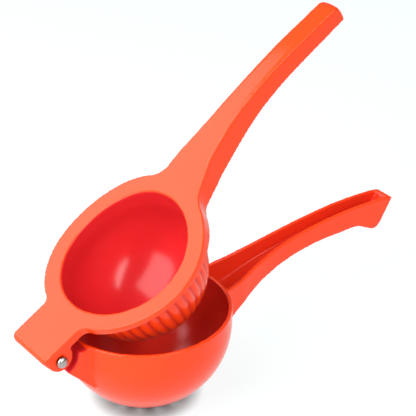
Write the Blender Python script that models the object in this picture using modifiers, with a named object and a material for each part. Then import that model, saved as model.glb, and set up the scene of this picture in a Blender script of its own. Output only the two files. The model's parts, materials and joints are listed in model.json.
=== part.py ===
"""Hinged citrus press: a bowl lever, a press lever and the steel rivet that joins them.

Both levers are drawn closed: Y runs along the rivet, +X towards the handles and +Z up. The bowl lever
stands level, and the press lever is turned up about the rivet to its open rest pose.
The finished part stands on the small foot under its bowl, at z = 0.
"""

import math

import bmesh
import bpy
from mathutils import Matrix, Vector

MM = 0.001

# Driving dimensions, in millimetres, in the frame that the closed levers are drawn in.
OPEN_ANGLE = math.radians(31.4)     # how far the press lever stands open at rest
RIVET = (1.0, -0.8)                 # the rivet's axis: x, z
PRESS_SHIFT = (0.56, 0.40)          # play of the press lever on the bowl lever when closed: x, z
BOWL_X = 64.0                       # middle of the bowl and of the press cup
BOWL_RADIUS = 48.0                  # outside of the bowl
BOWL_WALL = 2.2
RIM_Z = 0.3                         # the bowl's rim above the hinge axis
BOWL_STRAIGHT = 8.8                 # upright wall between the rim and the round bottom
FOOT_CUT = 0.5                      # depth of the flat on the bowl's lowest point
PART_GAP = 0.3                      # clearance between the closed flange and the rim

FLANGE_RADIUS = 47.8
FLANGE_Z = RIM_Z + PART_GAP         # flat underside of the press lever's flange
CUP_RADIUS = 39.6                   # outside of the press cup over its ribs
CUP_WALL = 2.6
CUP_CENTRE_Z = -7.5                 # centre of the press cup's round bottom
CUP_MOUTH_RADIUS = 37.3
RIB_COUNT = 42
RIB_STEPS = 2                       # facets to each rib
RIB_DEPTH = 0.9
RIB_START_Z = -1.2                  # the ribs begin just under the flange
RIB_FADE = math.radians(58)         # polar angle below the equator where the ribs have died out

TONGUE_HALF_WIDTH = 16.2            # the press lever's end over the hinge
TONGUE_FRONT = -7.6
TONGUE_CORNER = 3.6
EAR_CENTRE = (0.7, -0.2)
EAR_RADIUS = 7.4
EAR_INNER = 9.6                     # the ears reach from here to the tongue's side

KNUCKLE_HALF_WIDTH = 9.2            # the bowl lever's part of the hinge, between the ears
KNUCKLE_RADIUS = 4.6
KNUCKLE_SLOT_RADIUS = 5.1
SOCKET_RADIUS = 10.8                # hollow in the boss that the ears turn in
BOSS_HALF_WIDTH = 15.6
BOSS_TOP_Z = -0.6

PIN_RADIUS = 2.2
PIN_HOLE_RADIUS = 2.5
PIN_HEAD_RADIUS = 3.2
PIN_HEAD_HEIGHT = 2.4
PIN_HEAD_GAP = 0.7

HANDLE_WALL = 2.2
HANDLE_FLOOR = 2.6
PRESS_TIP_X = 238.2
PRESS_TIP_ROUND = 2.7
PRESS_TIP_CORNER = 2.0
BOWL_TIP_X = 240.6

DRAIN_RADIUS = 1.9
DRAIN_RINGS = ((10.0, 6), (18.5, 12))   # ring radius and how many holes it has

ROUND_STEPS = 48
REACH = 80.0                        # how far a cutter runs past what it cuts

# The part's origin is the middle of the foot under the bowl.
FOOT_Z = RIM_Z - BOWL_STRAIGHT - BOWL_RADIUS + FOOT_CUT
HINGE = Vector((RIVET[0] - BOWL_X, 0.0, RIVET[1] - FOOT_Z)) * MM

# The S-shaped side view, as points on smooth curves: (x, z).
PRESS_TOP = [(0, 6.9), (17, 6.2), (40, 4.7), (64, 4.2), (84, 5.9), (100, 9.2), (112, 12.5), (121, 15.8),
             (130, 18.7), (150, 22.5), (165, 24.5), (180, 25.7), (200, 26.4), (220, 25.8), (235.5, 25.3)]
PRESS_BOTTOM = [(113, 0.6), (123, 2.5), (137, 5.6), (150, 8.8), (169, 12.9), (186, 15.0), (202, 15.7),
                (220, 15.8), (PRESS_TIP_X, 15.9)]
BOWL_HANDLE_TOP = [(104, 0.3), (116.8, 0.3), (124.8, 1.9), (134.7, 4.5), (150, 8.2), (167, 11.1), (185, 13.1),
                   (203, 14.1), (218, 13.9), (232, 13.1), (BOWL_TIP_X, 11.8)]
BOWL_HANDLE_BOTTOM = [(104, -26.5), (115.4, -18.8), (130.3, -11.2), (138.2, -7.6), (146, -5.2), (154, -3.0),
                      (169, -0.3), (184, 1.0), (200, 0.9), (208, 0.9), (214.5, 0.1), (222, -3.6), (226, -5.4),
                      (229.4, -5.1)]
CHANNEL_FLOOR = [(100, -27), (115, -16.8), (130.3, -9.2), (146, -2.6), (162, 1.4), (184, 4.6), (200, 4.6),
                 (214, 3.4), (227, 0.6)]

# Half widths seen from above: (x, half width).
PRESS_NECK = [(109.8, 17.4), (112.9, 15.5), (116.8, 14.3), (125, 12.3), (130, 10.9), (140, 9.4), (150, 8.1),
              (165, 7.1), (180, 6.7), (210, 6.7)]
BOWL_NECK = [(104, 17.2), (112, 15.2), (117, 14.1), (123, 13.0), (130, 11.3), (145, 8.7), (160, 7.3), (180, 6.7),
             (200, 6.6), (238, 6.7)]


def smooth(points, spans=4):
    """Points on a Catmull-Rom curve through the given ones."""
    ends = [2 * Vector(points[0]) - Vector(points[1]), 2 * Vector(points[-1]) - Vector(points[-2])]
    knots = [ends[0]] + [Vector(p) for p in points] + [ends[1]]
    out = []
    for before, start, end, after in zip(knots, knots[1:], knots[2:], knots[3:]):
        for step in range(spans):
            t = step / spans
            out.append(0.5 * (2 * start + (end - before) * t
                              + (2 * before - 5 * start + 4 * end - after) * t ** 2
                              + (3 * start - before - 3 * end + after) * t ** 3))
    return out + [Vector(points[-1])]


def arc(centre, radius, start, end, steps):
    """Points on a circle from one angle to another, in degrees."""
    angles = [math.radians(start + (end - start) * i / steps) for i in range(steps + 1)]
    return [Vector((centre[0] + radius * math.cos(a), centre[1] + radius * math.sin(a))) for a in angles]


def along(points, x):
    """Height or half width at x, read off a list of points."""
    for a, b in zip(points, points[1:]):
        if a[0] <= x <= b[0]:
            return a[1] + (b[1] - a[1]) * (x - a[0]) / (b[0] - a[0])
    return points[0][1] if x < points[0][0] else points[-1][1]


def mirrored(side):
    """A closed outline seen from above, from its +Y side, which runs from the hinge end to the tip."""
    return list(side) + [Vector((p[0], -p[1])) for p in reversed(side) if abs(p[1]) > 1e-6]


def collection(name):
    made = bpy.data.collections.new(name)
    bpy.context.scene.collection.children.link(made)
    return made


def material(name, colour, roughness, metallic):
    made = bpy.data.materials.new(name)
    made.use_nodes = True
    shader = made.node_tree.nodes["Principled BSDF"]
    shader.inputs["Base Color"].default_value = (*colour, 1.0)
    shader.inputs["Roughness"].default_value = roughness
    shader.inputs["Metallic"].default_value = metallic
    return made


def mesh_object(name, mesh, home, parent):
    made = bpy.data.objects.new(name, mesh)
    home.objects.link(made)
    made.parent = parent
    if home.name == "cutters":
        made.hide_render = True
        made.display_type = "WIRE"
    return made


def prism(name, outline, low, high, upright, home, parent):
    """A flat outline made solid: seen from above from z low to high, or upright from y low to high."""
    curve = bpy.data.curves.new(name, "CURVE")
    curve.dimensions = "2D"
    curve.fill_mode = "BOTH"
    curve.extrude = (high - low) / 2 * MM
    spline = curve.splines.new("POLY")
    spline.points.add(len(outline) - 1)
    for point, place in zip(spline.points, outline):
        point.co = (place[0] * MM, place[1] * MM, 0.0, 1.0)
    spline.use_cyclic_u = True
    drawn = bpy.data.objects.new(name, curve)
    home.objects.link(drawn)
    mesh = bpy.data.meshes.new_from_object(drawn.evaluated_get(bpy.context.evaluated_depsgraph_get()))
    bpy.data.objects.remove(drawn)
    middle = (high + low) / 2 * MM
    if upright:
        mesh.transform(Matrix.Translation((0, middle, 0)) @ Matrix.Rotation(math.pi / 2, 4, "X"))
    else:
        mesh.transform(Matrix.Translation((0, 0, middle)))
    work = bmesh.new()
    work.from_mesh(mesh)
    bmesh.ops.remove_doubles(work, verts=work.verts, dist=1e-6)
    bmesh.ops.recalc_face_normals(work, faces=work.faces)
    work.to_mesh(mesh)
    work.free()
    return mesh_object(name, mesh, home, parent)


def turned(name, profile, steps, home, parent):
    """A profile turned about the upright axis through the bowl's middle, outer side first, top to bottom."""
    mesh = bpy.data.meshes.new(name)
    mesh.from_pydata([(r * MM, 0.0, z * MM) for r, z in profile], [(i, i + 1) for i in range(len(profile) - 1)], [])
    made = mesh_object(name, mesh, home, parent)
    made.location = (BOWL_X * MM, 0.0, 0.0)
    screw = made.modifiers.new("turn", "SCREW")
    screw.steps = steps
    screw.render_steps = steps
    screw.use_merge_vertices = True
    screw.merge_threshold = 1e-5
    return made


def rod(name, radius, half_length, home, parent, place=(0.0, 0.0, 0.0), axis="Y", steps=ROUND_STEPS // 2):
    """A cylinder along Y, or along Z."""
    mesh = bpy.data.meshes.new(name)
    work = bmesh.new()
    bmesh.ops.create_cone(work, cap_ends=True, segments=steps, radius1=radius * MM, radius2=radius * MM,
                          depth=2 * half_length * MM)
    if axis == "Y":
        bmesh.ops.rotate(work, verts=work.verts, matrix=Matrix.Rotation(math.pi / 2, 3, "X"))
    bmesh.ops.translate(work, verts=work.verts, vec=Vector(place) * MM)
    work.to_mesh(mesh)
    work.free()
    return mesh_object(name, mesh, home, parent)


def box(name, low, high, home, parent):
    mesh = bpy.data.meshes.new(name)
    work = bmesh.new()
    bmesh.ops.create_cube(work, size=1.0)
    size = [(b - a) * MM for a, b in zip(low, high)]
    middle = [(a + b) / 2 * MM for a, b in zip(low, high)]
    bmesh.ops.scale(work, verts=work.verts, vec=size)
    bmesh.ops.translate(work, verts=work.verts, vec=middle)
    work.to_mesh(mesh)
    work.free()
    return mesh_object(name, mesh, home, parent)


def combine(target, other, operation):
    """Adds a Boolean to target: UNION, DIFFERENCE or INTERSECT with other."""
    step = target.modifiers.new(other.name, "BOOLEAN")
    step.object = other
    step.operation = operation
    step.solver = "EXACT"
    return target


# Shapes shared by both levers

def ball_profile(radius, top, centre_z, foot=0.0, steps=11):
    """Upright wall from top down to centre_z, then a round bottom, cut flat by foot."""
    start = math.radians(2)
    last = math.acos(min(1.0, 1.0 - foot / radius)) if foot else 0.0
    points = [(radius, top), (radius, centre_z)]
    for i in range(1, steps):
        angle = start + (math.pi / 2 - last - start) * i / steps
        points.append((radius * math.cos(angle), centre_z - radius * math.sin(angle)))
    if foot:
        points.append((radius * math.sin(last), centre_z - radius + foot))
        return points + [(0.0, centre_z - radius + foot)]
    return points + [(0.0, centre_z - radius)]


def solid_ball(name, profile, home, parent, steps=ROUND_STEPS):
    """The same, closed at the top."""
    return turned(name, [(0.0, profile[0][1])] + profile, steps, home, parent)


# Press lever

def press_plan():
    """Outline of the press lever from above: tongue, round flange, neck and handle."""
    corner = (TONGUE_FRONT + TONGUE_CORNER, TONGUE_HALF_WIDTH - TONGUE_CORNER)
    side = [Vector((TONGUE_FRONT, 0.0))] + arc(corner, TONGUE_CORNER, 180, 90, 6)
    side += smooth([(15.5, TONGUE_HALF_WIDTH), (18.6, 17.0), (20.9, 19.5)], 3)
    side += arc((BOWL_X, 0.0), FLANGE_RADIUS, 152, 26, 30)
    side += smooth(PRESS_NECK, 3)
    corner = (PRESS_TIP_X - PRESS_TIP_CORNER, PRESS_NECK[-1][1] - PRESS_TIP_CORNER)
    side += arc(corner, PRESS_TIP_CORNER, 90, 0, 4)
    return mirrored(side)


def press_side():
    """Side view of the press lever: ear round the rivet, S-shaped top, flat flange and arched handle."""
    ear = arc(EAR_CENTRE, EAR_RADIUS, 0, -180, 14)
    ear[0] = Vector((EAR_CENTRE[0] + EAR_RADIUS, FLANGE_Z))
    front = arc((TONGUE_FRONT + 2.6, 4.3), 2.6, 180, 90, 4)
    tip = arc((PRESS_TIP_X - PRESS_TIP_ROUND, PRESS_TOP[-1][1] - PRESS_TIP_ROUND), PRESS_TIP_ROUND, 80, 0, 4)
    return ear + front + smooth(PRESS_TOP, 3) + tip + list(reversed(smooth(PRESS_BOTTOM, 3)))


def handle_hollow(home, parent):
    """The channel under the press lever's handle."""
    side = [Vector((x, along(PRESS_NECK, x) - HANDLE_WALL)) for x in (121, 126, 133, 145, 160, 180, 205, 234)]
    plan = prism("press_hollow_plan", mirrored([Vector((119.0, 0.0)), Vector((119.0, 7.0))] + side), -REACH, REACH,
                 False, home, parent)
    roof = [Vector((p[0], p[1] - HANDLE_FLOOR - 0.4)) for p in smooth(PRESS_TOP, 3) if 118.0 < p[0] < 233.0]
    outline = [Vector((116.0, -REACH))] + roof + [Vector((234.0, 21.0)), Vector((235.2, -REACH))]
    upright = prism("press_hollow", outline, -REACH, REACH, True, home, parent)
    return combine(upright, plan, "INTERSECT")


def ribbed_cup(home, parent):
    """Outside of the press cup, with ribs that start under the flange and die out on the round bottom."""
    top = FLANGE_Z + 1.6
    steps_round = RIB_COUNT * RIB_STEPS
    levels = [(CUP_RADIUS, top), (CUP_RADIUS, RIB_START_Z), (CUP_RADIUS, RIB_START_Z - 1.4), (CUP_RADIUS, CUP_CENTRE_Z)]
    for degrees in (12, 24, 36, 48, 58, 70, 80):
        angle = math.radians(degrees)
        levels.append((CUP_RADIUS * math.cos(angle), CUP_CENTRE_Z - CUP_RADIUS * math.sin(angle)))
    profile = [(0.0, top)] + levels + [(0.0, CUP_CENTRE_Z - CUP_RADIUS)]
    mesh = bpy.data.meshes.new("press_cup")
    work = bmesh.new()
    rings = []
    for radius, z in profile:
        if radius == 0.0:
            rings.append([work.verts.new((0.0, 0.0, z * MM))])
            continue
        ring = []
        below = math.asin(max(0.0, min(1.0, (CUP_CENTRE_Z - z) / CUP_RADIUS)))
        fade = max(0.0, 1.0 - below / RIB_FADE) if z < RIB_START_Z else 0.0
        for step in range(steps_round):
            angle = 2 * math.pi * step / steps_round
            depth = RIB_DEPTH * fade * (0.5 - 0.5 * math.cos(RIB_COUNT * angle))
            r = (radius - depth) * MM
            ring.append(work.verts.new((r * math.cos(angle), r * math.sin(angle), z * MM)))
        rings.append(ring)
    for upper, lower in zip(rings, rings[1:]):
        for step in range(steps_round):
            after = (step + 1) % steps_round
            corners = [upper[step % len(upper)], lower[step % len(lower)], lower[after % len(lower)],
                       upper[after % len(upper)]]
            work.faces.new(list(dict.fromkeys(corners)))
    bmesh.ops.recalc_face_normals(work, faces=work.faces)
    work.to_mesh(mesh)
    work.free()
    made = mesh_object("press_cup", mesh, home, parent)
    made.location = (BOWL_X * MM, 0.0, 0.0)
    return made


def cup_hollow(home, parent):
    """Inside of the press cup, with a rounded lip."""
    inner = CUP_RADIUS - CUP_WALL
    profile = ball_profile(inner, 40.0, CUP_CENTRE_Z)
    profile[0:1] = [(CUP_MOUTH_RADIUS + 0.8, 40.0), (CUP_MOUTH_RADIUS + 0.8, 13.0), (CUP_MOUTH_RADIUS, 2.0),
                    (inner, -1.5)]
    return solid_ball("press_cup_hollow", profile, home, parent)


def press_lever(home, cutters, parent, finish):
    rivet = (RIVET[0] - PRESS_SHIFT[0], 0.0, RIVET[1] - PRESS_SHIFT[1])
    lever = prism("press_lever", press_plan(), -REACH, REACH, False, home, parent)
    combine(lever, prism("press_side", press_side(), -REACH, REACH, True, cutters, parent), "INTERSECT")
    combine(lever, ribbed_cup(cutters, parent), "UNION")
    combine(lever, cup_hollow(cutters, parent), "DIFFERENCE")
    combine(lever, handle_hollow(cutters, parent), "DIFFERENCE")
    combine(lever, rod("knuckle_slot", KNUCKLE_SLOT_RADIUS, EAR_INNER, cutters, parent, rivet), "DIFFERENCE")
    combine(lever, box("slot_below", (-20, -EAR_INNER, -20), (10.5, EAR_INNER, 0.6), cutters, parent), "DIFFERENCE")
    combine(lever, box("slot_front", (-20, -EAR_INNER, -20), (0, EAR_INNER, 3.6), cutters, parent), "DIFFERENCE")
    combine(lever, rod("ear_hole", PIN_HOLE_RADIUS, REACH, cutters, parent, rivet, steps=24), "DIFFERENCE")
    lever.data.materials.append(finish)
    return lever


# Bowl lever

def bowl_handle(home, parent):
    """Channel-shaped handle, open on top, that flares into the bowl and ends in a thumb stop."""
    end = [Vector((BOWL_TIP_X - 0.2, 10.8)), Vector((236.0, 3.9)), Vector((231.9, -3.0))]
    outline = smooth(BOWL_HANDLE_TOP, 3) + end + list(reversed(smooth(BOWL_HANDLE_BOTTOM, 3)))
    handle = prism("bowl_handle", outline, -REACH, REACH, True, home, parent)
    side = smooth(BOWL_NECK, 3) + [Vector((BOWL_TIP_X + 2, 6.4))]
    plan = prism("bowl_handle_plan", mirrored([Vector((104.0, 0.0))] + side + [Vector((BOWL_TIP_X + 2, 0.0))]),
                 -REACH, REACH, False, home, parent)
    combine(handle, plan, "INTERSECT")
    inside = [Vector((p[0], p[1] - HANDLE_WALL)) for p in smooth(BOWL_NECK, 2)]
    channel_plan = prism("channel_plan", mirrored([Vector((100.0, 0.0)), Vector((100.0, 15.6))] + inside),
                         -REACH, REACH, False, home, parent)
    floor = smooth(CHANNEL_FLOOR, 3) + [Vector((231.5, 1.4)), Vector((237.2, 12.0)), Vector((238.0, REACH))]
    channel = prism("channel", floor + [Vector((100.0, REACH))], -REACH, REACH, True, home, parent)
    combine(channel, channel_plan, "INTERSECT")
    return combine(handle, channel, "DIFFERENCE")


def hinge_boss(home, parent):
    """Flat-sided boss between the bowl and the hinge, with the knuckle that sits between the ears."""
    knuckle = arc(RIVET, KNUCKLE_RADIUS, 70, 280, 16)
    outline = knuckle + [Vector((4.0, -9.6)), Vector((10.6, -16.4)), Vector((21.0, -27.4)), Vector((30.0, -27.0)),
                         Vector((30.0, BOSS_TOP_Z)), Vector((4.4, BOSS_TOP_Z)), Vector((3.6, 1.2))]
    boss = prism("hinge_boss", outline, -BOSS_HALF_WIDTH, BOSS_HALF_WIDTH, True, home, parent)
    reach = (REACH - KNUCKLE_HALF_WIDTH) / 2
    for side in (-1, 1):
        place = (RIVET[0], side * (KNUCKLE_HALF_WIDTH + reach), RIVET[1])
        socket = rod(f"ear_socket_{side}", SOCKET_RADIUS, reach, home, parent, place=place)
        combine(boss, socket, "DIFFERENCE")
    return boss


def drain_holes():
    """Centres of the juice holes, in rings round the foot."""
    places = []
    for radius, count in DRAIN_RINGS:
        for i in range(count):
            angle = 2 * math.pi * (i + 0.5) / count
            places.append((BOWL_X + radius * math.cos(angle), radius * math.sin(angle)))
    return places


def bowl_lever(home, cutters, parent, finish):
    centre = RIM_Z - BOWL_STRAIGHT
    rivet = (RIVET[0], 0.0, RIVET[1])
    outer = ball_profile(BOWL_RADIUS, RIM_Z - 0.6, centre, FOOT_CUT)
    lever = solid_ball("bowl_lever", [(BOWL_RADIUS - 0.5, RIM_Z)] + outer, home, parent)
    combine(lever, bowl_handle(cutters, parent), "UNION")
    combine(lever, hinge_boss(cutters, parent), "UNION")
    inner = ball_profile(BOWL_RADIUS - BOWL_WALL, 40.0, centre)
    combine(lever, solid_ball("bowl_hollow", inner, cutters, parent), "DIFFERENCE")
    combine(lever, rod("knuckle_hole", PIN_HOLE_RADIUS, REACH, cutters, parent, rivet, steps=24), "DIFFERENCE")
    for number, (x, y) in enumerate(drain_holes()):
        drain = rod(f"drain_{number}", DRAIN_RADIUS, 12.0, cutters, parent, place=(x, y, FOOT_Z), axis="Z", steps=10)
        combine(lever, drain, "DIFFERENCE")
    lever.data.materials.append(finish)
    return lever


# Hinge rivet

def hinge_pin(home, parent, finish):
    """Steel rivet through both ears and the knuckle, with a domed head at each end."""
    face = TONGUE_HALF_WIDTH + PIN_HEAD_GAP
    dome = arc((0.0, 0.0), 1.0, 0, 90, 5)
    head = [(PIN_HEAD_RADIUS * p[0], face + 0.5 + (PIN_HEAD_HEIGHT - 0.5) * p[1]) for p in dome]
    upper = list(reversed(head))
    upper[0] = (0.0, upper[0][1])
    profile = upper + [(PIN_HEAD_RADIUS, face), (PIN_RADIUS, face)]
    profile += [(r, -z) for r, z in reversed(profile)]
    mesh = bpy.data.meshes.new("hinge_pin")
    mesh.from_pydata([(r * MM, 0.0, z * MM) for r, z in profile], [(i, i + 1) for i in range(len(profile) - 1)], [])
    pin = mesh_object("hinge_pin", mesh, home, parent)
    pin.rotation_euler = (math.pi / 2, 0.0, 0.0)
    screw = pin.modifiers.new("turn", "SCREW")
    screw.steps = 24
    screw.render_steps = 24
    screw.use_merge_vertices = True
    screw.merge_threshold = 1e-5
    pin.data.materials.append(finish)
    return pin


def frame(name, home, parent, offset=(0.0, 0.0), turn=0.0):
    """An empty to draw in: offset along X and Z, then turned about Y."""
    made = bpy.data.objects.new(name, None)
    home.objects.link(made)
    made.parent = parent
    made.location = Vector((offset[0], 0.0, offset[1])) * MM
    made.rotation_euler = (0.0, turn, 0.0)
    return made


def main():
    for old in list(bpy.data.objects):
        bpy.data.objects.remove(old)
    parts = collection("citrus_press")
    cutters = collection("cutters")

    hinge = frame("hinge", parts, None)
    hinge.location = HINGE
    opened = frame("hinge_opened", parts, hinge, turn=-OPEN_ANGLE)
    bowl_frame = frame("bowl_frame", parts, hinge, (-RIVET[0], -RIVET[1]))
    press_frame = frame("press_frame", parts, opened, (PRESS_SHIFT[0] - RIVET[0], PRESS_SHIFT[1] - RIVET[1]))

    bowl_lever(parts, cutters, bowl_frame, material("orange_enamel_bowl", (0.87, 0.09, 0.03), 0.3, 0.0))
    press_lever(parts, cutters, press_frame, material("orange_enamel_press", (0.87, 0.09, 0.03), 0.3, 0.0))
    hinge_pin(parts, hinge, material("rivet_steel", (0.6, 0.6, 0.6), 0.25, 1.0))


main()
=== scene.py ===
"""Looks of the hinged citrus press: two enamelled castings with rounded edges, a steel rivet, and the studio.

Lengths here are in millimetres, and both levers are drawn closed: Y runs along the rivet, +X towards the
handles and +Z up. The press lever is then turned up about the rivet to its rest pose.
"""

import json
import math

import bmesh
import bpy
import numpy as np
from mathutils import Euler, Matrix, Vector


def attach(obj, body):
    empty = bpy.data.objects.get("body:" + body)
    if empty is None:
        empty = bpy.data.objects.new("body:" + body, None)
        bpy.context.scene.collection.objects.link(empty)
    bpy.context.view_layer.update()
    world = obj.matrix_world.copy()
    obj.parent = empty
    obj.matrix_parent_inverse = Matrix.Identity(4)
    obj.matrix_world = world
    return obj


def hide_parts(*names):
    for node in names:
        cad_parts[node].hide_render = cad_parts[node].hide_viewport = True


MM = 0.001

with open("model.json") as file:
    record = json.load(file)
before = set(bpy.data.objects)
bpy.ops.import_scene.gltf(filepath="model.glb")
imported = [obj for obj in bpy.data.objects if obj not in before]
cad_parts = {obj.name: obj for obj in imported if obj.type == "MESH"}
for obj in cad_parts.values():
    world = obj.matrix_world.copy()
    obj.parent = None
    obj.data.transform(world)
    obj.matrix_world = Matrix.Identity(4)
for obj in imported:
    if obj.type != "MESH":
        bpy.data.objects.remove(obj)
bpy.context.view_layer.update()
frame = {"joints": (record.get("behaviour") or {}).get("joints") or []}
HINGE = Vector(frame["joints"][0]["pos_m"])

# Driving dimensions, the same as the frame's, except that the ribs are deeper than its faceted ones
OPEN_ANGLE = math.radians(31.4)
RIVET = (1.0, -0.8)
PRESS_SHIFT = (0.56, 0.40)
BOWL_X = 64.0
BOWL_RADIUS = 48.0
BOWL_WALL = 2.2
RIM_Z = 0.3
BOWL_STRAIGHT = 8.8
FOOT_CUT = 0.5
FLANGE_RADIUS = 47.8
FLANGE_Z = 0.6
CUP_RADIUS = 39.6
CUP_WALL = 2.6
CUP_CENTRE_Z = -7.5
CUP_MOUTH_RADIUS = 37.3
RIB_COUNT = 42
RIB_DEPTH = 1.2
RIB_START_Z = -1.2
RIB_FADE = math.radians(58)
TONGUE_HALF_WIDTH = 16.2
TONGUE_FRONT = -7.6
TONGUE_CORNER = 3.6
EAR_CENTRE = (0.7, -0.2)
EAR_RADIUS = 7.4
EAR_INNER = 9.6
KNUCKLE_HALF_WIDTH = 9.2
KNUCKLE_RADIUS = 4.6
KNUCKLE_SLOT_RADIUS = 5.1
SOCKET_RADIUS = 10.8
BOSS_HALF_WIDTH = 15.6
BOSS_TOP_Z = -0.6
PIN_RADIUS = 2.2
PIN_HOLE_RADIUS = 2.5
PIN_HEAD_RADIUS = 3.2
PIN_HEAD_HEIGHT = 2.4
PIN_HEAD_GAP = 0.7
HANDLE_WALL = 2.2
HANDLE_FLOOR = 2.6
PRESS_TIP_X = 238.2
PRESS_TIP_ROUND = 2.7
PRESS_TIP_CORNER = 2.0
BOWL_TIP_X = 240.6
DRAIN_RADIUS = 1.9
DRAIN_RINGS = ((10.0, 6), (18.5, 12))
FOOT_Z = RIM_Z - BOWL_STRAIGHT - BOWL_RADIUS + FOOT_CUT

PRESS_TOP = [(0, 6.9), (17, 6.2), (40, 4.7), (64, 4.2), (84, 5.9), (100, 9.2), (112, 12.5), (121, 15.8),
             (130, 18.7), (150, 22.5), (165, 24.5), (180, 25.7), (200, 26.4), (220, 25.8), (235.5, 25.3)]
PRESS_BOTTOM = [(113, 0.6), (123, 2.5), (137, 5.6), (150, 8.8), (169, 12.9), (186, 15.0), (202, 15.7),
                (220, 15.8), (PRESS_TIP_X, 15.9)]
BOWL_HANDLE_TOP = [(104, 0.3), (116.8, 0.3), (124.8, 1.9), (134.7, 4.5), (150, 8.2), (167, 11.1), (185, 13.1),
                   (203, 14.1), (218, 13.9), (232, 13.1), (BOWL_TIP_X, 11.8)]
BOWL_HANDLE_BOTTOM = [(104, -26.5), (115.4, -18.8), (130.3, -11.2), (138.2, -7.6), (146, -5.2), (154, -3.0),
                      (169, -0.3), (184, 1.0), (200, 0.9), (208, 0.9), (214.5, 0.1), (222, -3.6), (226, -5.4),
                      (229.4, -5.1)]
CHANNEL_FLOOR = [(100, -27), (115, -16.8), (130.3, -9.2), (146, -2.6), (162, 1.4), (184, 4.6), (200, 4.6),
                 (214, 3.4), (227, 0.6)]
PRESS_NECK = [(109.8, 17.4), (112.9, 15.5), (116.8, 14.3), (125, 12.3), (130, 10.9), (140, 9.4), (150, 8.1),
              (165, 7.1), (180, 6.7), (210, 6.7)]
BOWL_NECK = [(104, 17.2), (112, 15.2), (117, 14.1), (123, 13.0), (130, 11.3), (145, 8.7), (160, 7.3),
             (180, 6.7), (200, 6.6), (238, 6.7)]

# Fineness of the castings' surface
CURVE_SPANS = 10
ROUND_STEPS = 192
VOXEL = 0.6
SMOOTH_STEPS = 11                   # rounds the cast edges to a radius of about 1.2 mm
HANDLE_ROUND_STEPS = 40             # rounds the top edges of the press handle to about 2.6 mm
EDGE_GROWTH = 0.5                   # what all that rounding takes off the press handle's outline
ASKEW = Euler((0.6, 0.45, 0.7)).to_matrix().to_4x4()    # turns the voxel grid away from every edge
BOWL_SHADE = 0.7                    # painted shade: how far the enamel goes towards the darker red that stands in for shade inside the bowl
CHANNEL_SHADE = 0.4                 # and inside the lower handle
GROOVE_SHADE = 0.9                  # and between the ribs
REACH = 80.0                        # past the casting on every side, for cutters


# Outlines

def smooth(points, spans=CURVE_SPANS):
    """Points on a Catmull-Rom curve through the given ones."""
    ends = [2 * Vector(points[0]) - Vector(points[1]), 2 * Vector(points[-1]) - Vector(points[-2])]
    knots = [ends[0]] + [Vector(p) for p in points] + [ends[1]]
    out = []
    for before, start, end, after in zip(knots, knots[1:], knots[2:], knots[3:]):
        for step in range(spans):
            t = step / spans
            out.append(0.5 * (2 * start + (end - before) * t
                              + (2 * before - 5 * start + 4 * end - after) * t ** 2
                              + (3 * start - before - 3 * end + after) * t ** 3))
    return out + [Vector(points[-1])]


def arc(centre, radius, start, end, steps=24):
    """Points on a circle from one angle to another, in degrees."""
    angles = [math.radians(start + (end - start) * i / steps) for i in range(steps + 1)]
    return [Vector((centre[0] + radius * math.cos(a), centre[1] + radius * math.sin(a))) for a in angles]


def along(points, x):
    """Height or half width at x, read off a list of points."""
    for a, b in zip(points, points[1:]):
        if a[0] <= x <= b[0]:
            return a[1] + (b[1] - a[1]) * (x - a[0]) / (b[0] - a[0])
    return points[0][1] if x < points[0][0] else points[-1][1]


def mirrored(side):
    """A closed outline seen from above, from its +Y side, which runs from the hinge end to the tip."""
    return list(side) + [Vector((p[0], -p[1])) for p in reversed(side) if abs(p[1]) > 1e-6]


# Solids, all drawn in millimetres as meshes in metres

def new_object(name, mesh):
    made = bpy.data.objects.new(name, mesh)
    bpy.context.scene.collection.objects.link(made)
    return made


def prism(name, outline, low, high, upright):
    """A flat outline made solid: seen from above from z low to high, or upright from y low to high."""
    curve = bpy.data.curves.new(name, "CURVE")
    curve.dimensions = "2D"
    curve.fill_mode = "BOTH"
    curve.extrude = (high - low) / 2 * MM
    spline = curve.splines.new("POLY")
    spline.points.add(len(outline) - 1)
    for point, place in zip(spline.points, outline):
        point.co = (place[0] * MM, place[1] * MM, 0.0, 1.0)
    spline.use_cyclic_u = True
    drawn = new_object(name, curve)
    mesh = bpy.data.meshes.new_from_object(drawn.evaluated_get(bpy.context.evaluated_depsgraph_get()))
    bpy.data.objects.remove(drawn)
    middle = (high + low) / 2 * MM
    if upright:
        mesh.transform(Matrix.Translation((0, middle, 0)) @ Matrix.Rotation(math.pi / 2, 4, "X"))
    else:
        mesh.transform(Matrix.Translation((0, 0, middle)))
    work = bmesh.new()
    work.from_mesh(mesh)
    bmesh.ops.remove_doubles(work, verts=work.verts, dist=1e-6)
    bmesh.ops.recalc_face_normals(work, faces=work.faces)
    work.to_mesh(mesh)
    work.free()
    return new_object(name, mesh)


def turned(name, profile, steps=ROUND_STEPS, x=BOWL_X):
    """A closed solid turned about an upright axis, from (radius, z) points that start and end on the axis."""
    work = bmesh.new()
    points = [work.verts.new((r * MM, 0.0, z * MM)) for r, z in profile]
    edges = [work.edges.new(pair) for pair in zip(points, points[1:])]
    bmesh.ops.spin(work, geom=points + edges, cent=(0, 0, 0), axis=(0, 0, 1), angle=2 * math.pi, steps=steps,
                   use_merge=True)
    bmesh.ops.remove_doubles(work, verts=work.verts, dist=1e-6)
    bmesh.ops.recalc_face_normals(work, faces=work.faces)
    bmesh.ops.translate(work, verts=work.verts, vec=(x * MM, 0.0, 0.0))
    mesh = bpy.data.meshes.new(name)
    work.to_mesh(mesh)
    work.free()
    return new_object(name, mesh)


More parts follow.
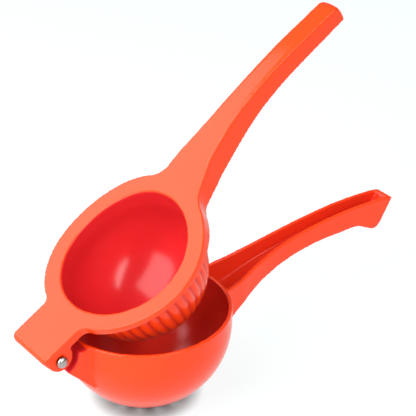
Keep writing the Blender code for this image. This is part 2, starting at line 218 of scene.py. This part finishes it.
def rod(name, radius, half_length, place=(0.0, 0.0, 0.0), axis="Y", steps=64):
    """A cylinder along Y, or along Z."""
    work = bmesh.new()
    bmesh.ops.create_cone(work, cap_ends=True, segments=steps, radius1=radius * MM, radius2=radius * MM,
                          depth=2 * half_length * MM)
    if axis == "Y":
        bmesh.ops.rotate(work, verts=work.verts, matrix=Matrix.Rotation(math.pi / 2, 3, "X"))
    bmesh.ops.translate(work, verts=work.verts, vec=Vector(place) * MM)
    mesh = bpy.data.meshes.new(name)
    work.to_mesh(mesh)
    work.free()
    return new_object(name, mesh)


def box(name, low, high):
    work = bmesh.new()
    bmesh.ops.create_cube(work, size=1.0)
    bmesh.ops.scale(work, verts=work.verts, vec=[(b - a) * MM for a, b in zip(low, high)])
    bmesh.ops.translate(work, verts=work.verts, vec=[(a + b) / 2 * MM for a, b in zip(low, high)])
    mesh = bpy.data.meshes.new(name)
    work.to_mesh(mesh)
    work.free()
    return new_object(name, mesh)


def evaluated(piece):
    return bpy.data.meshes.new_from_object(piece.evaluated_get(bpy.context.evaluated_depsgraph_get()))


def combined(base, steps):
    """Cuts, joins or crosses base with each of the other solids in turn, and removes them."""
    for other, operation in steps:
        change = base.modifiers.new(other.name, "BOOLEAN")
        change.object = other
        change.operation = operation
        change.solver = "EXACT"
    mesh = evaluated(base)
    base.modifiers.clear()
    base.data = mesh
    for other, _ in steps:
        bpy.data.objects.remove(other)
    return base


def cast_skin(piece):
    """Gives a sharp solid the even, round-edged skin of a casting, from voxels that no edge runs along."""
    piece.data.transform(ASKEW)
    remesh = piece.modifiers.new("skin", "REMESH")
    remesh.mode = "VOXEL"
    remesh.voxel_size = VOXEL * MM
    even = piece.modifiers.new("round", "SMOOTH")
    even.factor = 0.5
    even.iterations = SMOOTH_STEPS
    piece.data = evaluated(piece)
    piece.data.transform(ASKEW.inverted())
    piece.modifiers.clear()


def ball_profile(radius, top, centre_z, foot=0.0, steps=48):
    """From the axis: flat top, upright wall down to centre_z, then a round bottom, cut flat by foot."""
    last = math.acos(1.0 - foot / radius) if foot else 0.0
    points = [(0.0, top), (radius, top), (radius, centre_z)]
    for i in range(1, steps + 1):
        angle = (math.pi / 2 - last) * i / steps
        points.append((radius * math.cos(angle), centre_z - radius * math.sin(angle)))
    points[-1] = (radius * math.sin(last), centre_z - radius + foot)
    return points + [(0.0, centre_z - radius + foot)] if foot else points[:-1] + [(0.0, centre_z - radius)]


def places(piece):
    """The mesh's points, in millimetres."""
    co = np.empty(len(piece.data.vertices) * 3, np.float32)
    piece.data.vertices.foreach_get("co", co)
    return co.reshape(-1, 3).astype(float) / MM


def round_more(piece, weight, steps):
    """Rounds the edges further where weight, 0 to 1 at each point, is above 0."""
    group = piece.vertex_groups.new(name="rounder")
    for level in range(1, 11):
        chosen = np.flatnonzero(np.round(weight * 10) == level)
        group.add(chosen.tolist(), level / 10, "REPLACE")
    even = piece.modifiers.new("rounder", "SMOOTH")
    even.factor = 0.5
    even.iterations = steps
    even.vertex_group = group.name
    piece.data = evaluated(piece)
    piece.modifiers.clear()


def mark_painted_shade(piece, inside):
    """Stores where the surface lies inside a hollow, 0 to 1, for the painted shade in the enamel's colour."""
    piece.data.attributes.new("hollow", "FLOAT", "POINT").data.foreach_set("value", inside.astype(np.float32))


def step_up(value, start, width):
    """0 below start, 1 above start + width, straight between."""
    return np.clip((value - start) / width, 0, 1)


# Press lever

def press_plan():
    """Outline of the press lever from above: tongue, round flange, neck and handle."""
    corner = (TONGUE_FRONT + TONGUE_CORNER, TONGUE_HALF_WIDTH - TONGUE_CORNER)
    side = [Vector((TONGUE_FRONT, 0.0))] + arc(corner, TONGUE_CORNER, 180, 90, 12)
    side += smooth([(15.5, TONGUE_HALF_WIDTH), (18.6, 17.0), (20.9, 19.5)], 6)
    side += arc((BOWL_X, 0.0), FLANGE_RADIUS, 152, 26, 120)
    side += smooth(PRESS_NECK)
    corner = (PRESS_TIP_X - PRESS_TIP_CORNER, PRESS_NECK[-1][1] - PRESS_TIP_CORNER)
    side += arc(corner, PRESS_TIP_CORNER, 90, 0, 12)
    return mirrored(side)


def press_side():
    """Side view of the press lever: ear round the rivet, S-shaped top, flat flange and arched handle."""
    ear = arc(EAR_CENTRE, EAR_RADIUS, 0, -180, 32)
    ear[0] = Vector((EAR_CENTRE[0] + EAR_RADIUS, FLANGE_Z))
    front = arc((TONGUE_FRONT + 2.6, 4.3), 2.6, 180, 90, 8)
    centre = (PRESS_TIP_X - PRESS_TIP_ROUND, PRESS_TOP[-1][1] - PRESS_TIP_ROUND)
    tip = arc(centre, PRESS_TIP_ROUND, 85, 0, 12)
    top = [(x, z + EDGE_GROWTH * step_up(x, 112.0, 30.0)) for x, z in PRESS_TOP]
    bottom = [(x, z - EDGE_GROWTH * step_up(x, 113.0, 30.0)) for x, z in PRESS_BOTTOM]
    return ear + front + smooth(top) + tip + list(reversed(smooth(bottom)))


def handle_hollow():
    """The channel under the press lever's handle."""
    side = [Vector((x, along(PRESS_NECK, x) - HANDLE_WALL)) for x in range(121, 235, 3)]
    start = [Vector((119.0, 0.0)), Vector((119.0, 7.0))]
    plan = prism("press_hollow_plan", mirrored(start + side), -REACH, REACH, False)
    roof = [Vector((p[0], p[1] - HANDLE_FLOOR - 0.4)) for p in smooth(PRESS_TOP) if 118.0 < p[0] < 233.0]
    outline = [Vector((116.0, -REACH))] + roof + [Vector((234.0, 21.0)), Vector((235.2, -REACH))]
    return combined(prism("press_hollow", outline, -REACH, REACH, True), [(plan, "INTERSECT")])


def cup_hollow():
    """Inside of the press cup."""
    inner = CUP_RADIUS - CUP_WALL
    profile = ball_profile(inner, 40.0, CUP_CENTRE_Z)
    wide = CUP_MOUTH_RADIUS + 0.8
    mouth = [(wide, 40.0), (wide, 13.0), (CUP_MOUTH_RADIUS, 2.0), (inner, -1.5)]
    return turned("press_cup_hollow", profile[:1] + mouth + profile[2:])


def cut_ribs(piece):
    """Presses the grooves between the ribs into the outside of the cup; they die out on the round bottom.

    Gives how far each point is in a groove, 0 to 1.
    """
    co = places(piece)
    x, y, z = co[:, 0] - BOWL_X, co[:, 1], co[:, 2]
    below = np.minimum(z - CUP_CENTRE_Z, 0.0)
    reach = np.sqrt(x * x + y * y + below * below)
    polar = np.arcsin(np.clip(-below / np.maximum(reach, 1e-6), 0, 1))
    start = np.clip((RIB_START_Z - z) / 1.5, 0, 1)
    fade = np.clip(1.0 - polar / RIB_FADE, 0, 1)
    outside = step_up(reach, CUP_RADIUS - 0.6 * CUP_WALL, 0.3 * CUP_WALL) * (reach < CUP_RADIUS + 1.0)
    lobe = 1.0 - np.abs(np.sin(np.arctan2(y, x) * RIB_COUNT / 2)) ** 0.7
    depth = RIB_DEPTH * lobe * start * np.sqrt(fade) * outside
    share = 1.0 - depth / np.maximum(reach, 1e-6)
    co[:, 0] = BOWL_X + x * share
    co[:, 1] = y * share
    co[:, 2] = np.where(below < 0, CUP_CENTRE_Z + below * share, z)
    piece.data.vertices.foreach_set("co", (co * MM).astype(np.float32).ravel())
    piece.data.update()
    return depth / RIB_DEPTH


def press_lever():
    in_press = (RIVET[0] - PRESS_SHIFT[0], 0.0, RIVET[1] - PRESS_SHIFT[1])
    lever = prism("press_lever_casting", press_plan(), -REACH, REACH, False)
    combined(lever, [
        (prism("press_side", press_side(), -REACH, REACH, True), "INTERSECT"),
        (turned("press_cup", ball_profile(CUP_RADIUS, FLANGE_Z + 1.6, CUP_CENTRE_Z)), "UNION"),
        (cup_hollow(), "DIFFERENCE"),
        (handle_hollow(), "DIFFERENCE"),
        (rod("knuckle_slot", KNUCKLE_SLOT_RADIUS, EAR_INNER, in_press), "DIFFERENCE"),
        (box("slot_below", (-20, -EAR_INNER, -20), (10.5, EAR_INNER, 0.6)), "DIFFERENCE"),
        (box("slot_front", (-20, -EAR_INNER, -20), (0, EAR_INNER, 3.6)), "DIFFERENCE"),
        (rod("ear_hole", PIN_HOLE_RADIUS, REACH, in_press), "DIFFERENCE"),
    ])
    cast_skin(lever)
    x, y, z = places(lever).T
    top, neck = (np.interp(x, *np.array(smooth(line)).T) for line in (PRESS_TOP, PRESS_NECK))
    near_edge = step_up(z, top - 5.0, 2.0) * step_up(np.abs(y), neck - 5.0, 2.0)
    round_more(lever, near_edge * step_up(x, 112.0, 30.0), HANDLE_ROUND_STEPS)
    # Painted shade: a darker red inside the cup and in the grooves between the ribs, where shade falls
    x, y, z = places(lever).T
    from_axis = np.hypot(x - BOWL_X, y)
    deep = np.hypot(from_axis, np.minimum(z - CUP_CENTRE_Z, 0))
    in_cup = (1 - step_up(deep, CUP_MOUTH_RADIUS + 0.5, 0.3)) * (1 - step_up(z, top - 0.5, 0.4))
    mark_painted_shade(lever, np.maximum(in_cup, GROOVE_SHADE * cut_ribs(lever)))
    return lever


# Bowl lever

def bowl_handle():
    """Channel-shaped handle, open on top, that flares into the bowl and ends in a thumb stop."""
    end = [Vector((BOWL_TIP_X - 0.2, 10.8)), Vector((236.0, 3.9)), Vector((231.9, -3.0))]
    outline = smooth(BOWL_HANDLE_TOP) + end + list(reversed(smooth(BOWL_HANDLE_BOTTOM)))
    handle = prism("bowl_handle", outline, -REACH, REACH, True)
    side = smooth(BOWL_NECK) + [Vector((BOWL_TIP_X + 2, 6.4))]
    plan_outline = mirrored([Vector((104.0, 0.0))] + side + [Vector((BOWL_TIP_X + 2, 0.0))])
    plan = prism("bowl_handle_plan", plan_outline, -REACH, REACH, False)
    inside = [Vector((p[0], p[1] - HANDLE_WALL)) for p in smooth(BOWL_NECK)]
    start = [Vector((100.0, 0.0)), Vector((100.0, 15.6))]
    channel_plan = prism("channel_plan", mirrored(start + inside), -REACH, REACH, False)
    floor = smooth(CHANNEL_FLOOR) + [Vector((231.5, 1.4)), Vector((237.2, 12.0)), Vector((238.0, REACH))]
    channel = combined(prism("channel", floor + [Vector((100.0, REACH))], -REACH, REACH, True),
                       [(channel_plan, "INTERSECT")])
    return combined(handle, [(plan, "INTERSECT"), (channel, "DIFFERENCE")])


def hinge_boss():
    """Flat-sided boss between the bowl and the hinge, with the knuckle that sits between the ears."""
    knuckle = arc(RIVET, KNUCKLE_RADIUS, 70, 280, 32)
    below = [Vector((4.0, -9.6)), Vector((10.6, -16.4)), Vector((21.0, -27.4)), Vector((30.0, -27.0))]
    outline = knuckle + below + [Vector((30.0, BOSS_TOP_Z)), Vector((4.4, BOSS_TOP_Z)), Vector((3.6, 1.2))]
    boss = prism("hinge_boss", outline, -BOSS_HALF_WIDTH, BOSS_HALF_WIDTH, True)
    reach = (REACH - KNUCKLE_HALF_WIDTH) / 2
    sockets = []
    for side in (-1, 1):
        place = (RIVET[0], side * (KNUCKLE_HALF_WIDTH + reach), RIVET[1])
        sockets.append((rod(f"ear_socket_{side}", SOCKET_RADIUS, reach, place), "DIFFERENCE"))
    return combined(boss, sockets)


def drain_holes():
    """Cutters for the juice holes, in rings round the foot."""
    cutters = []
    for radius, count in DRAIN_RINGS:
        for i in range(count):
            angle = 2 * math.pi * (i + 0.5) / count
            place = (BOWL_X + radius * math.cos(angle), radius * math.sin(angle), FOOT_Z)
            cutters.append((rod(f"drain_{radius:.0f}_{i}", DRAIN_RADIUS, 12.0, place, "Z", 32), "DIFFERENCE"))
    return cutters


def bowl_lever():
    centre = RIM_Z - BOWL_STRAIGHT
    lever = turned("bowl_lever_casting", ball_profile(BOWL_RADIUS, RIM_Z, centre, FOOT_CUT))
    hollow = turned("bowl_hollow", ball_profile(BOWL_RADIUS - BOWL_WALL, 40.0, centre))
    hinge_hole = rod("knuckle_hole", PIN_HOLE_RADIUS, REACH, (RIVET[0], 0.0, RIVET[1]))
    combined(lever, [(bowl_handle(), "UNION"), (hinge_boss(), "UNION"), (hollow, "DIFFERENCE"),
                     (hinge_hole, "DIFFERENCE")] + drain_holes())
    cast_skin(lever)
    # Painted shade: a darker red inside the bowl, the channel and the rivet sockets and on top of the boss
    # under the tongue, where shade falls
    x, y, z = places(lever).T
    deep = np.hypot(np.hypot(x - BOWL_X, y), np.minimum(z - centre, 0))
    in_bowl = (1 - step_up(deep, BOWL_RADIUS - 0.6 * BOWL_WALL, 0.5)) * (1 - step_up(z, RIM_Z - 0.9, 0.5))
    lines = (BOWL_NECK, BOWL_HANDLE_TOP, CHANNEL_FLOOR)
    neck, top, floor = (np.interp(x, *np.array(smooth(line)).T) for line in lines)
    in_channel = (1 - step_up(np.abs(y), neck - 0.6 * HANDLE_WALL, 0.4)) * (1 - step_up(z, top - 0.9, 0.5))
    in_channel *= step_up(z, floor - 0.8, 0.4) * (x > BOWL_X + BOWL_RADIUS) * (x < BOWL_TIP_X - 1.5)
    from_rivet = np.hypot(x - RIVET[0], z - RIVET[1])
    in_socket = 1 - step_up(from_rivet, SOCKET_RADIUS + 0.2, 0.6)
    in_socket *= step_up(np.abs(y), KNUCKLE_HALF_WIDTH - 0.6, 0.4)
    on_boss = step_up(z, BOSS_TOP_Z - 0.7, 0.4) * (x < BOWL_X - BOWL_RADIUS + 1.0)
    painted_shade_levels = [BOWL_SHADE * in_bowl, CHANNEL_SHADE * in_channel, in_socket, on_boss]
    mark_painted_shade(lever, np.maximum.reduce(painted_shade_levels))
    return lever


# Hinge rivet

def hinge_rivet():
    """Steel rivet through both ears and the knuckle, with a domed head at each end."""
    face = TONGUE_HALF_WIDTH + PIN_HEAD_GAP
    dome = arc((0.0, 0.0), 1.0, 90, 0, 16)
    half = [(PIN_HEAD_RADIUS * p[0], face + 0.4 + (PIN_HEAD_HEIGHT - 0.4) * p[1]) for p in dome]
    half[0] = (0.0, half[0][1])
    half += [(PIN_HEAD_RADIUS - 0.15, face), (PIN_RADIUS, face)]
    rivet = turned("hinge_rivet", half + [(r, -z) for r, z in reversed(half)], 64, 0.0)
    rivet.data.transform(Matrix.Rotation(math.pi / 2, 4, "X"))
    return rivet


# Materials

def principled(name, colour, **sockets):
    made = bpy.data.materials.new(name)
    made.use_nodes = True
    shader = made.node_tree.nodes["Principled BSDF"]
    shader.inputs["Base Color"].default_value = (*colour, 1.0)
    for socket, value in sockets.items():
        shader.inputs[socket.replace("_", " ")].default_value = value
    return made, made.node_tree, shader


def enamel(name):
    """Glossy baked enamel with slight orange peel and an uneven depth of colour, and painted shade: a darker
    red in the hollows.
    """
    made, tree, shader = principled(name, (0.88, 0.047, 0.006), Roughness=0.2, Specular_IOR_Level=0.27)
    place = tree.nodes.new("ShaderNodeTexCoord")
    cloud = tree.nodes.new("ShaderNodeTexNoise")
    cloud.inputs["Scale"].default_value = 28.0
    cloud.inputs["Detail"].default_value = 2.0
    tree.links.new(place.outputs["Object"], cloud.inputs["Vector"])
    tint = tree.nodes.new("ShaderNodeMix")
    tint.data_type = "RGBA"
    tint.inputs["A"].default_value = (0.86, 0.045, 0.0055, 1.0)
    tint.inputs["B"].default_value = (0.90, 0.050, 0.0065, 1.0)
    tree.links.new(cloud.outputs["Fac"], tint.inputs["Factor"])
    # Painted shade: the hollow attribute mixes in a darker red that stands in for the shade in the hollows
    hollow = tree.nodes.new("ShaderNodeAttribute")
    hollow.attribute_name = "hollow"
    depth = tree.nodes.new("ShaderNodeMix")
    depth.data_type = "RGBA"
    depth.inputs["B"].default_value = (0.54, 0.015, 0.018, 1.0)
    tree.links.new(hollow.outputs["Fac"], depth.inputs["Factor"])
    tree.links.new(tint.outputs["Result"], depth.inputs["A"])
    tree.links.new(depth.outputs["Result"], shader.inputs["Base Color"])
    peel = tree.nodes.new("ShaderNodeTexNoise")
    peel.inputs["Scale"].default_value = 900.0
    peel.inputs["Detail"].default_value = 1.0
    tree.links.new(place.outputs["Object"], peel.inputs["Vector"])
    bump = tree.nodes.new("ShaderNodeBump")
    bump.inputs["Strength"].default_value = 0.05
    bump.inputs["Distance"].default_value = 0.0001
    tree.links.new(peel.outputs["Fac"], bump.inputs["Height"])
    tree.links.new(bump.outputs["Normal"], shader.inputs["Normal"])
    return made


def rivet_steel():
    """Bright steel with faint turning marks."""
    made, tree, shader = principled("rivet_steel", (0.42, 0.37, 0.36), Metallic=1.0, Roughness=0.3)
    place = tree.nodes.new("ShaderNodeTexCoord")
    marks = tree.nodes.new("ShaderNodeTexNoise")
    marks.inputs["Scale"].default_value = 1500.0
    tree.links.new(place.outputs["Object"], marks.inputs["Vector"])
    spread = tree.nodes.new("ShaderNodeMapRange")
    spread.inputs["To Min"].default_value = 0.24
    spread.inputs["To Max"].default_value = 0.38
    tree.links.new(marks.outputs["Fac"], spread.inputs["Value"])
    tree.links.new(spread.outputs["Result"], shader.inputs["Roughness"])
    return made


# Studio

CAMERA_PLACE = Vector((-0.38457, -0.56374, 0.50362))
CAMERA_ACROSS = Vector((0.79753, -0.60327, 0.00293))
CAMERA_DOWN = Vector((-0.29554, -0.39493, -0.86988))
CAMERA_LENS = 129.8                 # on a 36 mm sensor


def camera():
    data = bpy.data.cameras.new("camera")
    data.lens = CAMERA_LENS
    data.sensor_width = 36.0
    data.clip_start = 0.01
    made = bpy.data.objects.new("camera", data)
    bpy.context.scene.collection.objects.link(made)
    back = CAMERA_ACROSS.cross(-CAMERA_DOWN)
    turn = Matrix((CAMERA_ACROSS, -CAMERA_DOWN, back)).transposed()
    made.matrix_world = Matrix.LocRotScale(CAMERA_PLACE, turn.to_quaternion(), None)
    bpy.context.scene.camera = made


def soft_light(name, place, aim, size, watts):
    data = bpy.data.lights.new(name, "AREA")
    data.shape = "RECTANGLE"
    data.size, data.size_y = size
    data.energy = watts
    made = bpy.data.objects.new(name, data)
    made.location = place
    made.rotation_euler = (Vector(aim) - Vector(place)).to_track_quat("-Z", "Y").to_euler()
    bpy.context.scene.collection.objects.link(made)
    return made


def studio():
    """White paper that glows as painted light, dimmed into a painted contact shadow close under the object, a
    pale sky and three soft lights.
    """
    floor = new_object("floor", bpy.data.meshes.new("floor"))
    work = bmesh.new()
    bmesh.ops.create_grid(work, x_segments=1, y_segments=1, size=6.0)
    work.to_mesh(floor.data)
    work.free()
    paper, tree, shader = principled("white_paper", (0.15, 0.15, 0.15), Roughness=0.9, Specular_IOR_Level=0.0,
                                     Emission_Color=(0.94, 1.0, 1.0, 1.0))
    # Painted shadow: the paper's glow fades where ambient occlusion finds the object close above it
    near = tree.nodes.new("ShaderNodeAmbientOcclusion")
    near.inputs["Distance"].default_value = 0.014
    glow = tree.nodes.new("ShaderNodeMapRange")
    glow.inputs["From Min"].default_value = 0.22
    glow.inputs["From Max"].default_value = 0.62
    glow.inputs["To Max"].default_value = 0.86
    tree.links.new(near.outputs["AO"], glow.inputs["Value"])
    tree.links.new(glow.outputs["Result"], shader.inputs["Emission Strength"])
    floor.data.materials.append(paper)
    world = bpy.data.worlds.new("studio")
    bpy.context.scene.world = world
    world.use_nodes = True
    world.node_tree.nodes["Background"].inputs["Color"].default_value = (1.0, 1.0, 1.0, 1.0)
    world.node_tree.nodes["Background"].inputs["Strength"].default_value = 0.25
    soft_light("tent_left", (-0.68, -0.02, 0.62), (0.0, 0.0, 0.08), (0.78, 1.2), 17.0)
    soft_light("tent_back", (-0.42, 0.72, 0.64), (0.0, 0.0, 0.08), (0.7, 0.8), 5.5)
    strip = soft_light("strip", (-0.03, -0.76, 0.66), (0.0, 0.0, 0.08), (0.16, 1.0), 7.0)
    strip.rotation_euler.rotate_axis("Z", math.radians(-40))
    bpy.context.scene.view_settings.view_transform = "Standard"


# Assembly

def finish_piece(piece, offset, turn, body, node, material):
    """Moves a piece, drawn closed, to its rest pose and gives it to its body."""
    drawn = Matrix.Translation(Vector((offset[0], 0.0, offset[1])) * MM)
    piece.data.transform(Matrix.Translation(HINGE) @ Matrix.Rotation(turn, 4, "Y") @ drawn)
    piece.data.materials.clear()
    piece.data.materials.append(material)
    piece.data.shade_smooth()
    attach(piece, body)
    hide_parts(node)


in_bowl_frame = (-RIVET[0], -RIVET[1])
in_press_frame = (PRESS_SHIFT[0] - RIVET[0], PRESS_SHIFT[1] - RIVET[1])
finish_piece(bowl_lever(), in_bowl_frame, 0.0, "bowl_side", "bowl_lever",
             enamel("bowl_enamel"))
finish_piece(press_lever(), in_press_frame, -OPEN_ANGLE, "press_side", "press_lever",
             enamel("press_enamel"))
finish_piece(hinge_rivet(), (0.0, 0.0), 0.0, "bowl_side", "hinge_pin", rivet_steel())
camera()
studio()
